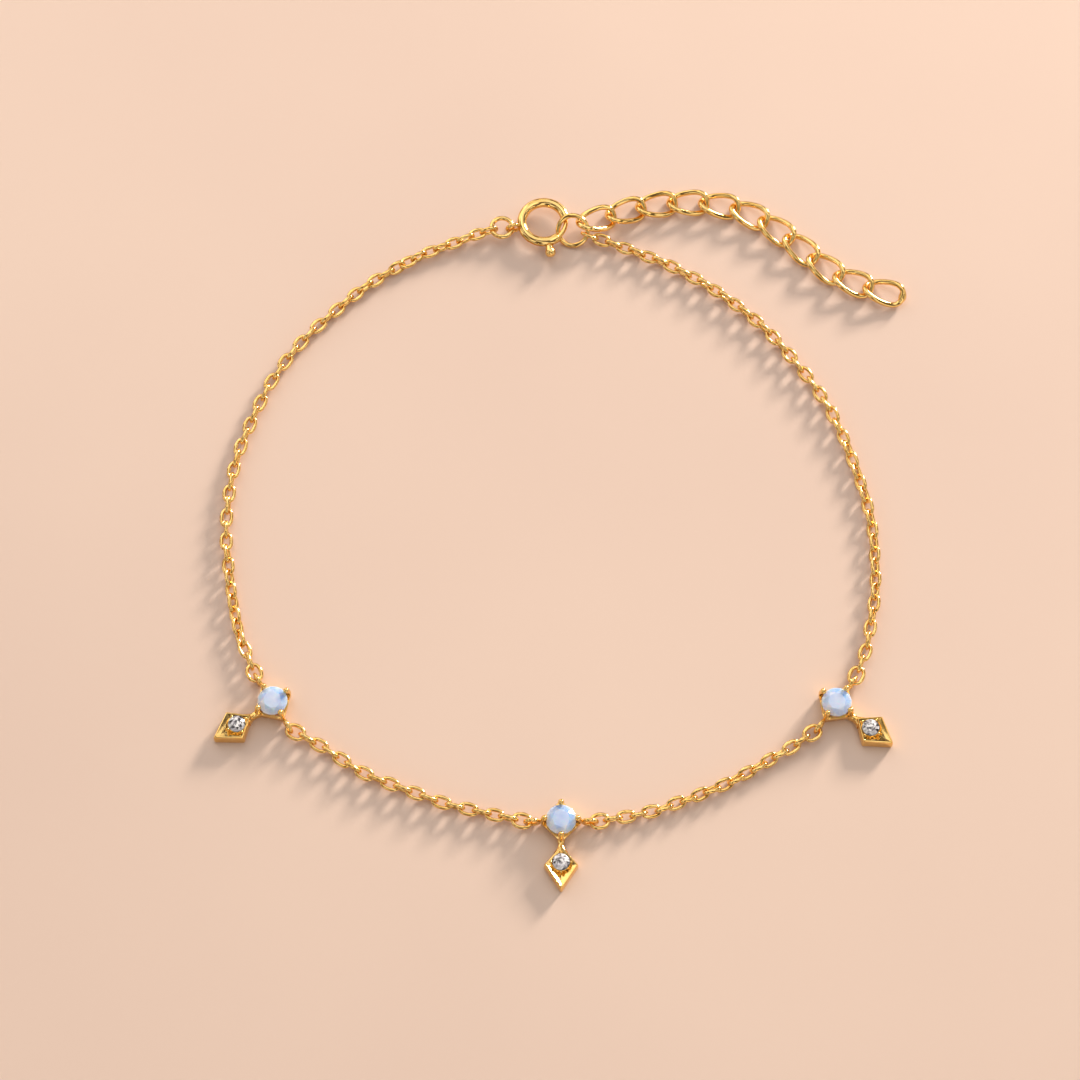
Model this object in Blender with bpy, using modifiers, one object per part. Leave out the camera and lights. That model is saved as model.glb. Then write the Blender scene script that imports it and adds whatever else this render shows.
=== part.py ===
"""Charm bracelet: a fine cable chain with three stone drops, a spring ring clasp and an extender.

It lies in a rounded loop on a table at z = 0, with the clasp at +Y and the middle drop at -Y.
Each drop is one casting: a square four-prong basket, two loops for the chain, a neck and a kite.
"""
import math

import bmesh
import bpy
from mathutils import Matrix, Vector

MM = 0.001

# Gaps that loose pieces keep, and how far soldered links run into each other
CLEARANCE = 0.05 * MM
FUSE = 0.04 * MM

# How close corners are welded, and the angle over which an edge stays sharp
WELD = 0.0005 * MM
SHARP_ANGLE = math.radians(35.0)

# Cable chain: links alternate by a quarter turn
LINK_WIRE = 0.28 * MM
LINK_WIDTH = 1.20 * MM
LINK_PITCH = 1.16 * MM
CONNECTOR_WIRE = 0.30 * MM
CONNECTOR_WIDTH = 1.50 * MM
END_LINKS = 3
END_COVER = 0.3
TUBE_STEP = 2.0 * MM
LINK_SIDES = 10
WIRE_SIDES = 6

# Extender chain: twisted curb links, counted in the photo
CURB_LINKS = 11
CURB_WIRE = 0.45 * MM
CURB_WIDTH = 2.62 * MM
CURB_PITCH = 2.95 * MM
CURB_TWIST = math.radians(40.0)
CURB_SIDES = 14

# Rings beside the clasp
JUMP_DIAMETER = 2.35 * MM
JUMP_WIRE = 0.43 * MM
END_DIAMETER = 3.20 * MM
END_WIRE = 0.46 * MM
RING_SIDES = 16
RING_WIRE_SIDES = 8

# Spring ring clasp: a curved tube with a sliding gate wire inside
CLASP_DIAMETER = 4.85 * MM
CLASP_TUBE = 0.75 * MM
CLASP_BORE = 0.54 * MM
GATE_WIRE = 0.42 * MM
GATE_OPENS = -52.0
GATE_CLOSES = 15.0
GATE_TIP = 23.0
GATE_TAIL = -140.0
KNOB_ANGLE = -79.0
KNOB_TRAVEL = 60.0
KNOB_STEM = 0.32 * MM
KNOB_WIDTH = 0.96 * MM
KNOB_REACH = 0.66 * MM
EYELET_ANGLE = 192.0
EYELET_DIAMETER = 1.50 * MM
EYELET_WIRE = 0.35 * MM
CLASP_STEP = 12.0
BORE_PAST = 8.0

# Stone basket of a drop: square, with a prong at each corner
OPAL_DIAMETER = 2.60 * MM
OPAL_GIRDLE = 1.50 * MM
OPAL_CROWN = 0.34 * MM
OPAL_PAVILION = 1.10 * MM
OPAL_TABLE = 0.58
STONE_GIRDLE = 0.02
STONE_CULET = 0.02
CROWN_STEP = 0.62
PAVILION_STEP = 0.56
PAVILION_WAIST = 0.5
PRONG_WIRE = 0.40 * MM
PRONG_TIP = 0.46 * MM
PRONG_RISE = 0.38 * MM
BASKET_WALL = 0.30 * MM
BASKET_WIDTH = 2.66 * MM
BASKET_HEIGHT = 1.02 * MM
BASKET_FLARE = 0.12 * MM

# Chain loops on two of its prongs
LOOP_DIAMETER = 1.55 * MM
LOOP_WIRE = 0.35 * MM
LOOP_HEIGHT = 0.78 * MM

# Kite and its crystal, measured from the opal's centre along the drop
KITE_TOP = 2.06 * MM
KITE_WIDEST = 3.82 * MM
KITE_TIP = 6.08 * MM
KITE_WIDTH = 3.02 * MM
KITE_HEIGHT = 1.15 * MM
KITE_RIM = 0.17 * MM
KITE_RECESS = 0.34 * MM
KITE_FOOT = 0.96
NECK_WIDTH = 0.50 * MM
NECK_FLARE = 0.74 * MM
NECK_HEIGHT = 0.80 * MM
CRYSTAL_PLACE = 3.60 * MM
CRYSTAL_DIAMETER = 1.56 * MM
CRYSTAL_CROWN = 0.22 * MM
CRYSTAL_PAVILION = 0.62 * MM
CRYSTAL_TABLE = 0.56
CRYSTAL_GIRDLE = 1.12 * MM
SEAT_FOOT = 0.12 * MM
BEAD_DIAMETER = 0.34 * MM
BEAD_RISE = 0.06 * MM

# Where each drop lies: its opal's centre and its turn about the opal, in degrees
STATIONS = (
    ("left", -25.38 * MM, -16.68 * MM, -57.0),
    ("centre", -0.62 * MM, -27.28 * MM, 0.0),
    ("right", 23.07 * MM, -16.81 * MM, 53.0),
)

# Where the clasp and the rings lie, as centres on the table
CLASP_CENTRE = (-2.05 * MM, 29.90 * MM)
JUMP_ANGLE = 187.7
END_ANGLE = -18.0
EXTENDER_ANGLE = 50.0

# Routes of the chains between their two ends, from the photo, in millimetres
LEFT_ROUTE = (
    (-8.3, 28.7), (-11.8, 27.3), (-15.0, 25.7), (-18.8, 23.0), (-21.5, 20.5), (-23.8, 18.0),
    (-26.6, 13.9), (-28.5, 9.2), (-29.6, 5.4), (-30.1, 0.8), (-29.9, -2.7), (-29.2, -7.4),
    (-28.3, -11.0),
)
LOWER_LEFT_ROUTE = ((-21.5, -20.3), (-17.6, -22.8), (-13.1, -24.7), (-8.7, -26.1))
LOWER_RIGHT_ROUTE = ((5.9, -26.6), (9.2, -25.6), (14.3, -23.4), (19.1, -20.6))
RIGHT_ROUTE = (
    (25.7, -12.3), (26.5, -9.0), (27.0, -5.0), (27.0, -1.0), (26.4, 2.6), (25.1, 7.3),
    (23.3, 11.8), (20.6, 15.9), (17.7, 19.5), (14.2, 22.6), (10.2, 25.2), (5.6, 27.3),
)
EXTENDER_ROUTE = (
    (5.3, 31.1), (8.0, 31.8), (10.9, 32.1), (13.8, 31.9), (16.7, 31.1),
    (19.2, 29.4), (21.5, 27.4), (23.6, 25.3), (26.0, 23.8), (28.9, 22.9),
)

# Heights of the chains' middles over the table, and the length over which a raised end settles
CHAIN_HEIGHT = LINK_WIDTH / 2
SETTLE_LENGTH = 5.0 * MM

# Finish of the metal and of the stones: colour, roughness, metallic
FINISHES = {
    "gold": ((0.95, 0.62, 0.20), 0.18, 1.0),
    "opal": ((0.66, 0.80, 0.90), 0.12, 0.0),
    "crystal": ((0.90, 0.92, 0.95), 0.05, 0.0),
}


def clear_scene():
    """Remove what the scene holds."""
    for item in list(bpy.data.objects):
        bpy.data.objects.remove(item)


def finish(part, kind):
    """Give a part its own material of one of the finishes."""
    colour, roughness, metallic = FINISHES[kind]
    material = bpy.data.materials.new(part + "_" + kind)
    material.use_nodes = True
    shader = material.node_tree.nodes["Principled BSDF"]
    shader.inputs["Base Color"].default_value = (*colour, 1.0)
    shader.inputs["Roughness"].default_value = roughness
    shader.inputs["Metallic"].default_value = metallic
    return material


def evaluated_mesh(item):
    """Return a free copy of an object's mesh with its modifiers worked out."""
    bpy.context.view_layer.update()
    graph = bpy.context.evaluated_depsgraph_get()
    return bpy.data.meshes.new_from_object(item.evaluated_get(graph))


def tidy_mesh(mesh):
    """Weld loose caps and drop slivers, then face every side out."""
    shape = bmesh.new()
    shape.from_mesh(mesh)
    bmesh.ops.remove_doubles(shape, verts=shape.verts, dist=WELD)
    bmesh.ops.dissolve_degenerate(shape, edges=shape.edges, dist=WELD)
    bmesh.ops.recalc_face_normals(shape, faces=shape.faces)
    shape.to_mesh(mesh)
    shape.free()
    return mesh


def solid(name, mesh):
    """Put a mesh in the scene as an object at the origin."""
    item = bpy.data.objects.new(name, mesh)
    bpy.context.scene.collection.objects.link(item)
    return item


def combine(base, other, operation):
    """Join another solid to the base, or cut it away, and take the other out."""
    modifier = base.modifiers.new(operation.title(), "BOOLEAN")
    modifier.operation = operation
    modifier.solver = "EXACT"
    modifier.object = other
    mesh = tidy_mesh(evaluated_mesh(base))
    base.modifiers.clear()
    base.data = mesh
    bpy.data.objects.remove(other)
    return base


def move_mesh(item, matrix):
    """Move an object's mesh and leave the object at the origin."""
    item.data.transform(matrix)
    return item


def joined(name, items):
    """Gather solids that don't touch in one mesh."""
    shape = bmesh.new()
    for item in items:
        shape.from_mesh(item.data)
        bpy.data.objects.remove(item)
    mesh = bpy.data.meshes.new(name)
    shape.to_mesh(mesh)
    shape.free()
    return solid(name, mesh)


def take_active(name):
    """Name the primitive that was just added, with its place in its mesh."""
    item = bpy.context.object
    item.name = name
    return item


def ring(name, outer, wire, sides=RING_SIDES, wire_sides=RING_WIRE_SIDES):
    """Make a round ring in the XY plane."""
    bpy.ops.mesh.primitive_torus_add(
        major_segments=sides, minor_segments=wire_sides,
        major_radius=(outer - wire) / 2, minor_radius=wire / 2)
    return take_active(name)


def link(name, length, width, wire, sides, twist=0.0):
    """Make a long link in the XY plane, its ends twisted about X by this much each way."""
    item = ring(name, width, wire, sides, WIRE_SIDES)
    stretch = (length - width) / 2
    for vertex in item.data.vertices:
        vertex.co.y /= math.cos(math.pi / sides)
        vertex.co.x += math.copysign(stretch, vertex.co.x)
    reach = (length - wire) / 2
    for vertex in item.data.vertices:
        vertex.co = Matrix.Rotation(twist * vertex.co.x / reach, 3, "X") @ vertex.co
    return item


def wire_path(name, points, diameter, sides_level=2):
    """Make a round wire through points, as a closed mesh."""
    curve = bpy.data.curves.new(name, "CURVE")
    curve.dimensions = "3D"
    curve.bevel_depth = diameter / 2
    curve.bevel_resolution = sides_level
    curve.use_fill_caps = True
    spline = curve.splines.new("POLY")
    spline.points.add(len(points) - 1)
    for slot, point in zip(spline.points, points):
        slot.co = (*point, 1.0)
    guide = solid(name + "_path", curve)
    item = solid(name, tidy_mesh(evaluated_mesh(guide)))
    item.matrix_world = guide.matrix_world
    bpy.data.objects.remove(guide)
    return item


def arc_points(radius, start, end):
    """Return points round an arc in the XY plane, from one angle to another in degrees."""
    steps = max(2, round(abs(end - start) / CLASP_STEP))
    angles = [math.radians(start + (end - start) * k / steps) for k in range(steps + 1)]
    return [Vector((radius * math.cos(a), radius * math.sin(a), 0.0)) for a in angles]


def turned(name, profile, steps):
    """Turn a closed or axis-ended profile of (radius, height) points round Z."""
    mesh = bpy.data.meshes.new(name)
    edges = [(k, k + 1) for k in range(len(profile) - 1)]
    if profile[0][0] > 0:
        edges.append((len(profile) - 1, 0))
    mesh.from_pydata([(radius, 0.0, height) for radius, height in profile], edges, [])
    item = solid(name, mesh)
    screw = item.modifiers.new("Turn", "SCREW")
    screw.steps = steps
    screw.render_steps = steps
    screw.use_merge_vertices = True
    screw.merge_threshold = 0.000001
    result = tidy_mesh(evaluated_mesh(item))
    item.modifiers.clear()
    item.data = result
    return item


def prism(name, outline, bottom, top, bottom_share=1.0):
    """Raise a flat outline from one height to another, its foot a share of its size."""
    shape = bmesh.new()
    middle = sum((Vector((*p, 0.0)) for p in outline), Vector()) / len(outline)
    corners = []
    for p in outline:
        place = middle + (Vector((*p, 0.0)) - middle) * bottom_share
        corners.append(shape.verts.new((place.x, place.y, bottom)))
    shape.faces.new(corners)
    lift = bmesh.ops.extrude_face_region(shape, geom=shape.faces[:])
    raised = [v for v in lift["geom"] if isinstance(v, bmesh.types.BMVert)]
    for vertex in raised:
        place = middle + (vertex.co - middle) / bottom_share
        vertex.co = (place.x, place.y, top)
    bmesh.ops.recalc_face_normals(shape, faces=shape.faces)
    mesh = bpy.data.meshes.new(name)
    shape.to_mesh(mesh)
    shape.free()
    return solid(name, mesh)


def cut_stone(name, diameter, crown, pavilion, table, facets=8):
    """Make a round stone with a table, crown and pavilion facets, its girdle at z = 0."""
    radius = diameter / 2
    girdle = diameter * STONE_GIRDLE
    mid = (1 + table) / 2
    rows = (
        (radius * table, crown, facets, 0.0),
        (radius * mid, crown * CROWN_STEP, facets, 0.5),
        (radius, girdle, facets * 2, 0.0),
        (radius, -girdle, facets * 2, 0.0),
        (radius * PAVILION_WAIST, -pavilion * PAVILION_STEP, facets, 0.5),
        (radius * STONE_CULET, -pavilion, facets, 0.0),
    )
    shape = bmesh.new()
    for reach, height, count, shift in rows:
        for k in range(count):
            angle = 2 * math.pi * (k + shift) / count
            shape.verts.new((reach * math.cos(angle), reach * math.sin(angle), height))
    hull = bmesh.ops.convex_hull(shape, input=shape.verts)
    spare = [v for v in hull["geom_interior"] if isinstance(v, bmesh.types.BMVert)]
    bmesh.ops.delete(shape, geom=spare, context="VERTS")
    bmesh.ops.recalc_face_normals(shape, faces=shape.faces)
    mesh = bpy.data.meshes.new(name)
    shape.to_mesh(mesh)
    shape.free()
    return solid(name, mesh)


def smooth_route(points, steps=12):
    """Run a smooth curve through points and return it as many short steps."""
    ends = [points[0] * 2 - points[1], *points, points[-1] * 2 - points[-2]]
    route = []
    for before, start, end, after in zip(ends, ends[1:], ends[2:], ends[3:]):
        for k in range(steps):
            t = k / steps
            route.append(0.5 * (2 * start + (end - before) * t
                                + (2 * before - 5 * start + 4 * end - after) * t * t
                                + (3 * start - before - 3 * end + after) * t ** 3))
    route.append(points[-1])
    return route


def route_length(route):
    """Return the length of a stepped route."""
    return sum((b - a).length for a, b in zip(route, route[1:]))


def point_along(route, distance):
    """Return the point at this distance along a stepped route."""
    for a, b in zip(route, route[1:]):
        step = (b - a).length
        if distance <= step:
            return a.lerp(b, distance / step)
        distance -= step
    return route[-1].copy()


def even_points(route, first, last, count):
    """Return count + 1 points at even distances between two distances along a route."""
    return [point_along(route, first + (last - first) * k / count) for k in range(count + 1)]


def frame_between(start, end, roll):
    """Return the frame of a link between two points, turned by roll about its length."""
    along = (end - start).normalized()
    side = Vector((0, 0, 1)).cross(along).normalized()
    turn = Matrix((along, side, along.cross(side))).transposed().to_4x4()
    return Matrix.Translation((start + end) / 2) @ turn @ Matrix.Rotation(roll, 4, "X")


def station_frame(station):
    """Return a drop's frame on the table: opal at the middle, drop along -Y."""
    name, x, y, turn = station
    return Matrix.Translation((x, y, 0.0)) @ Matrix.Rotation(math.radians(turn), 4, "Z")


def polar(centre, radius, degrees, height):
    """Return a point at an angle and a distance from a centre."""
    angle = math.radians(degrees)
    return Vector((centre[0] + radius * math.cos(angle), centre[1] + radius * math.sin(angle), height))


# Places that follow from the sizes: prongs, loops, rings; a wire hangs out and down in its loop
HANG = math.sqrt(0.5)
PRONG_PLACE = OPAL_DIAMETER / 2 + PRONG_WIRE / 2 + CLEARANCE / 2
LOOP_PLACE = PRONG_PLACE + PRONG_WIRE / 2 + LOOP_DIAMETER / 2 - FUSE
LOOP_ROOM = (LOOP_DIAMETER / 2 - LOOP_WIRE - CONNECTOR_WIRE / 2 - 2 * CLEARANCE) * HANG
CLASP_RADIUS = (CLASP_DIAMETER - CLASP_TUBE) / 2
EYELET_PLACE = CLASP_DIAMETER / 2 + EYELET_DIAMETER / 2 - EYELET_WIRE
EYELET_ROOM = (EYELET_DIAMETER / 2 - EYELET_WIRE - JUMP_WIRE / 2 - 2 * CLEARANCE) * HANG
END_RADIUS = (END_DIAMETER - END_WIRE) / 2
END_PLACE = CLASP_RADIUS + END_RADIUS - (GATE_WIRE + END_WIRE) / 2 - 3 * CLEARANCE


def end_ring_tilt():
    """Return the tilt that takes the end ring over the clasp on one side and under on the other."""
    along = (CLASP_RADIUS ** 2 - END_RADIUS ** 2 + END_PLACE ** 2) / (2 * END_PLACE)
    aside = math.sqrt(CLASP_RADIUS ** 2 - along ** 2)
    apart = (GATE_WIRE + END_WIRE) / 2 + 3 * CLEARANCE
    return math.atan2(apart, aside)


def curb_height():
    """Return how high a twisted link's middle lies when the bows at its ends touch the table."""
    bow = (CURB_WIDTH - CURB_WIRE) / 2
    reach = (CURB_PITCH + CURB_WIRE + CLEARANCE) / 2
    drops = []
    for k in range(CURB_SIDES):
        angle = math.pi / 2 * k / CURB_SIDES
        along = reach - bow + bow * math.sin(angle)
        drops.append(bow * math.cos(angle) * math.sin(CURB_TWIST * along / reach))
    return max(drops) / math.cos(math.pi / CURB_SIDES) + CURB_WIRE / 2 + CLEARANCE / 2


CURB_HEIGHT = curb_height()
END_TILT = end_ring_tilt()
CLASP_HEIGHT = END_RADIUS * math.sin(END_TILT) + END_WIRE / 2
END_CENTRE = polar(CLASP_CENTRE, END_PLACE, END_ANGLE, CLASP_HEIGHT)
JUMP_PLACE = EYELET_PLACE + EYELET_ROOM + (JUMP_DIAMETER - JUMP_WIRE) / 2
JUMP_CENTRE = polar(CLASP_CENTRE, JUMP_PLACE, JUMP_ANGLE, CLASP_HEIGHT - EYELET_ROOM)


def full_route(start, chosen, end, height):
    """Return a chain's stepped route from its start, through the chosen points, to its end.

    It lies at one height, and rises over its last few millimetres to an end that is held higher.
    """
    points = [start.xy, *(Vector((x * MM, y * MM)) for x, y in chosen), end.xy]
    route = smooth_route([point.to_3d() for point in points])
    length = route_length(route)
    gone = 0.0
    before = route[0].copy()
    for point in route:
        gone += (point.xy - before.xy).length
        before = point.copy()
        rise = (start.z - height) * max(0.0, 1 - gone / SETTLE_LENGTH) ** 2
        rise += (end.z - height) * max(0.0, 1 - (length - gone) / SETTLE_LENGTH) ** 2
        point.z = height + rise
    return route


def loop_end(index, side):
    """Return where a chain holds a drop's loop: side is -1 or 1 along the drop's X."""
    reach = LOOP_PLACE + LOOP_ROOM + CONNECTOR_WIRE / 2
    return station_frame(STATIONS[index]) @ Vector((side * reach, 0.0, LOOP_HEIGHT - LOOP_ROOM))


def cable_link(name, start, end, roll, connector=False):
    """Make one cable link that hangs in its neighbours at start and end."""
    wire = CONNECTOR_WIRE if connector else LINK_WIRE
    width = CONNECTOR_WIDTH if connector else LINK_WIDTH
    length = (end - start).length + 2 * wire - FUSE
    item = link(name, length, width, wire, LINK_SIDES)
    return move_mesh(item, frame_between(start, end, roll))


def soldered_links(name, joints, numbers, first_roll, connectors):
    """Make the links of these numbers between a chain's joints, soldered into one solid."""
    rows = ([], [])
    for k in numbers:
        roll = first_roll + math.pi / 2 * (k % 2)
        rows[k % 2].append(cable_link(name, joints[k], joints[k + 1], roll, k in connectors))
    return combine(joined(name, rows[0]), joined(name + "_between", rows[1]), "UNION")


def linked_chain(name, route):
    """Make a short chain of real links; both its end links lie flat in their loops."""
    length = route_length(route)
    count = 2 * round((length / LINK_PITCH - 1) / 2) + 1
    joints = even_points(route, 0.0, length, count)
    return soldered_links(name, joints, range(count), 0.0, (0, count - 1))


def plain_chain(name, route, first_roll):
    """Make a long chain as a tube of its links' width, with a few real links at each end."""
    length = route_length(route)
    count = 2 * round(length / LINK_PITCH / 2)
    joints = even_points(route, 0.0, length, count)
    cover = length / count * (END_LINKS - END_COVER)
    runs = round(length / TUBE_STEP)
    tube = LINK_WIDTH - FUSE
    chain = wire_path(name, even_points(route, cover, length - cover, runs), tube)
    first = soldered_links(name + "_first", joints, range(END_LINKS), first_roll, ())
    last = soldered_links(name + "_last", joints, range(count - END_LINKS, count), math.pi / 2, (count - 1,))
    combine(chain, first, "UNION")
    return combine(chain, last, "UNION")


def extender_route():
    """Return the extender's stepped route, from inside the end ring to its last link's end."""
    reach = END_RADIUS - END_WIRE / 2 - CLEARANCE
    angle = math.radians(EXTENDER_ANGLE)
    start = end_ring_frame() @ Vector((reach * math.cos(angle), reach * math.sin(angle), 0.0))
    last, before = (Vector((x * MM, y * MM, CURB_HEIGHT)) for x, y in EXTENDER_ROUTE[:-3:-1])
    end = last + (last - before).normalized() * CURB_PITCH / 2
    return full_route(start, EXTENDER_ROUTE, end, CURB_HEIGHT)


def curb_links():
    """Make the extender: loose twisted links, each held by its neighbours."""
    route = extender_route()
    joints = even_points(route, 0.0, route_length(route), CURB_LINKS)
    items = []
    for k in range(CURB_LINKS):
        length = (joints[k + 1] - joints[k]).length + 2 * CURB_WIRE + CLEARANCE
        item = link("extender_link_%02d" % (k + 1), length, CURB_WIDTH, CURB_WIRE, CURB_SIDES, CURB_TWIST)
        item.data.transform(frame_between(joints[k], joints[k + 1], 0.0))
        items.append(item)
    return items


def clasp_frame():
    """Return the clasp's frame: its middle, level over the table."""
    return Matrix.Translation((*CLASP_CENTRE, CLASP_HEIGHT))


def clasp_body():
    """Make the curved tube with its bore, the knob's slot and the soldered eyelet."""
    tube = wire_path("clasp_body", arc_points(CLASP_RADIUS, GATE_CLOSES, 360 + GATE_OPENS), CLASP_TUBE, 3)
    eyelet = ring("eyelet", EYELET_DIAMETER, EYELET_WIRE, 12, 6)
    place = Matrix.Rotation(math.radians(EYELET_ANGLE), 4, "Z") @ Matrix.Translation((EYELET_PLACE, 0, 0))
    move_mesh(eyelet, place @ Matrix.Rotation(math.pi / 2, 4, "X"))
    combine(tube, eyelet, "UNION")
    bore_path = arc_points(CLASP_RADIUS, GATE_CLOSES - BORE_PAST, 360 + GATE_OPENS + BORE_PAST)
    bore = wire_path("bore", bore_path, CLASP_BORE)
    combine(tube, bore, "DIFFERENCE")
    slot_width = KNOB_STEM + 4 * CLEARANCE
    room = math.degrees((KNOB_STEM / 2 + 2 * CLEARANCE) / CLASP_RADIUS)
    slot_path = arc_points(CLASP_RADIUS + CLASP_TUBE / 2, KNOB_ANGLE + room, KNOB_ANGLE - KNOB_TRAVEL - room)
    combine(tube, wire_path("slot", slot_path, slot_width), "DIFFERENCE")
    return move_mesh(tube, clasp_frame())


def clasp_trigger():
    """Make the gate wire with its knob, its origin on the clasp's middle axis."""
    gate = wire_path("clasp_trigger", arc_points(CLASP_RADIUS, GATE_TAIL, GATE_TIP), GATE_WIRE)
    head_place = CLASP_DIAMETER / 2 + KNOB_REACH
    bpy.ops.mesh.primitive_cylinder_add(vertices=8, radius=KNOB_STEM / 2, depth=head_place - CLASP_RADIUS)
    stem = take_active("stem")
    middle = (head_place + CLASP_RADIUS) / 2
    move_mesh(stem, Matrix.Translation((middle, 0, 0)) @ Matrix.Rotation(math.pi / 2, 4, "Y"))
    bpy.ops.mesh.primitive_uv_sphere_add(segments=10, ring_count=6, radius=KNOB_WIDTH / 2)
    head = move_mesh(take_active("head"), Matrix.Translation((head_place, 0, 0)))
    combine(stem, head, "UNION")
    move_mesh(stem, Matrix.Rotation(math.radians(KNOB_ANGLE), 4, "Z"))
    combine(gate, stem, "UNION")
    gate.matrix_world = clasp_frame()
    return gate


def clasp_jump_ring():
    """Make the ring between the clasp's eyelet and the left chain."""
    return move_mesh(ring("clasp_jump_ring", JUMP_DIAMETER, JUMP_WIRE), Matrix.Translation(JUMP_CENTRE))


def end_ring_frame():
    """Return the end ring's frame: X away from the clasp, its far side raised."""
    turn = Matrix.Rotation(math.radians(END_ANGLE), 4, "Z") @ Matrix.Rotation(END_TILT, 4, "X")
    return Matrix.Translation(END_CENTRE) @ turn


def end_ring():
    """Make the larger ring that the gate holds."""
    return move_mesh(ring("end_ring", END_DIAMETER, END_WIRE), end_ring_frame())


def kite_outline(inset=0.0):
    """Return the kite's four corners, drawn in by an inset along its axes."""
    half = KITE_WIDTH / 2
    return (
        (0.0, -KITE_TOP - inset),
        (-half + inset, -KITE_WIDEST),
        (0.0, -KITE_TIP + inset * 2),
        (half - inset, -KITE_WIDEST),
    )


def basket():
    """Make the square basket and its four prongs."""
    top = BASKET_WIDTH / math.sqrt(2)
    foot = top - BASKET_FLARE * math.sqrt(2)
    wall = BASKET_WALL * math.sqrt(2)
    profile = ((foot, 0.0), (foot - wall, 0.0), (top - wall, BASKET_HEIGHT), (top, BASKET_HEIGHT))
    item = turned("basket", profile, 4)
    rise = OPAL_GIRDLE + PRONG_RISE
    for k in range(4):
        bpy.ops.mesh.primitive_cylinder_add(vertices=8, radius=PRONG_WIRE / 2, depth=rise)
        prong = move_mesh(take_active("prong"), Matrix.Translation((PRONG_PLACE, 0, rise / 2)))
        bpy.ops.mesh.primitive_uv_sphere_add(segments=8, ring_count=6, radius=PRONG_TIP / 2)
        tip = move_mesh(take_active("tip"), Matrix.Translation((PRONG_PLACE, 0, rise)))
        combine(prong, tip, "UNION")
        move_mesh(prong, Matrix.Rotation(math.pi / 2 * k, 4, "Z"))
        combine(item, prong, "UNION")
    return item


def kite():
    """Make the kite with its neck, its sunk face, its stone's seat and four beads."""
    item = prism("kite", kite_outline(), 0.0, KITE_HEIGHT, KITE_FOOT)
    neck_end = KITE_TOP + KITE_RIM
    neck = prism("neck", (
        (-NECK_WIDTH / 2, -PRONG_PLACE), (-NECK_FLARE / 2, -neck_end),
        (NECK_FLARE / 2, -neck_end), (NECK_WIDTH / 2, -PRONG_PLACE)), 0.0, NECK_HEIGHT)
    combine(item, neck, "UNION")
    above = KITE_HEIGHT * 2
    floor = KITE_HEIGHT - KITE_RECESS
    combine(item, prism("sunk", kite_outline(KITE_RIM), floor, above), "DIFFERENCE")
    reach = CRYSTAL_DIAMETER / 2 + CLEARANCE
    shoulder = CRYSTAL_GIRDLE - 2 * CLEARANCE
    bottom = shoulder - CRYSTAL_PAVILION
    profile = ((0.0, above), (reach, above), (reach, shoulder), (SEAT_FOOT / 2, bottom), (0.0, bottom))
    seat = turned("seat", profile, 12)
    middle = Matrix.Translation((0, -CRYSTAL_PLACE, 0))
    combine(item, move_mesh(seat, middle), "DIFFERENCE")
    bead_place = CRYSTAL_DIAMETER / 2 + BEAD_DIAMETER / 2 + CLEARANCE
    bead_top = KITE_HEIGHT + BEAD_RISE
    for k in range(4):
        depth = bead_top - floor / 2
        bpy.ops.mesh.primitive_cylinder_add(vertices=8, radius=BEAD_DIAMETER / 2, depth=depth)
        bead = move_mesh(take_active("bead"), Matrix.Translation((bead_place, 0, bead_top - depth / 2)))
        move_mesh(bead, middle @ Matrix.Rotation(math.pi / 2 * k, 4, "Z"))
        combine(item, bead, "UNION")
    return item


def setting_mesh():
    """Make one drop's casting and return its mesh, to be shared by the three drops."""
    item = basket()
    combine(item, kite(), "UNION")
    for side in (-1, 1):
        loop = ring("loop", LOOP_DIAMETER, LOOP_WIRE, 12, 6)
        place = Matrix.Translation((side * LOOP_PLACE, 0, LOOP_HEIGHT))
        move_mesh(loop, place @ Matrix.Rotation(math.pi / 2, 4, "X"))
        combine(item, loop, "UNION")
    mesh = item.data
    bpy.data.objects.remove(item)
    return mesh


def place_drops():
    """Place the three castings and their stones by their stations."""
    casting = setting_mesh()
    opal = cut_stone("opal", OPAL_DIAMETER, OPAL_CROWN, OPAL_PAVILION, OPAL_TABLE)
    crystal = cut_stone("crystal", CRYSTAL_DIAMETER, CRYSTAL_CROWN, CRYSTAL_PAVILION, CRYSTAL_TABLE)
    items = []
    for station in STATIONS:
        frame = station_frame(station)
        pieces = (
            ("_setting", casting, Matrix.Identity(4), "gold"),
            ("_opal", opal.data, Matrix.Translation((0, 0, OPAL_GIRDLE)), "opal"),
            ("_crystal", crystal.data, Matrix.Translation((0, -CRYSTAL_PLACE, CRYSTAL_GIRDLE)), "crystal"),
        )
        for suffix, mesh, offset, kind in pieces:
            item = solid(station[0] + suffix, mesh.copy())
            item.matrix_world = frame @ offset
            items.append((item, kind))
    bpy.data.objects.remove(opal)
    bpy.data.objects.remove(crystal)
    return items


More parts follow.
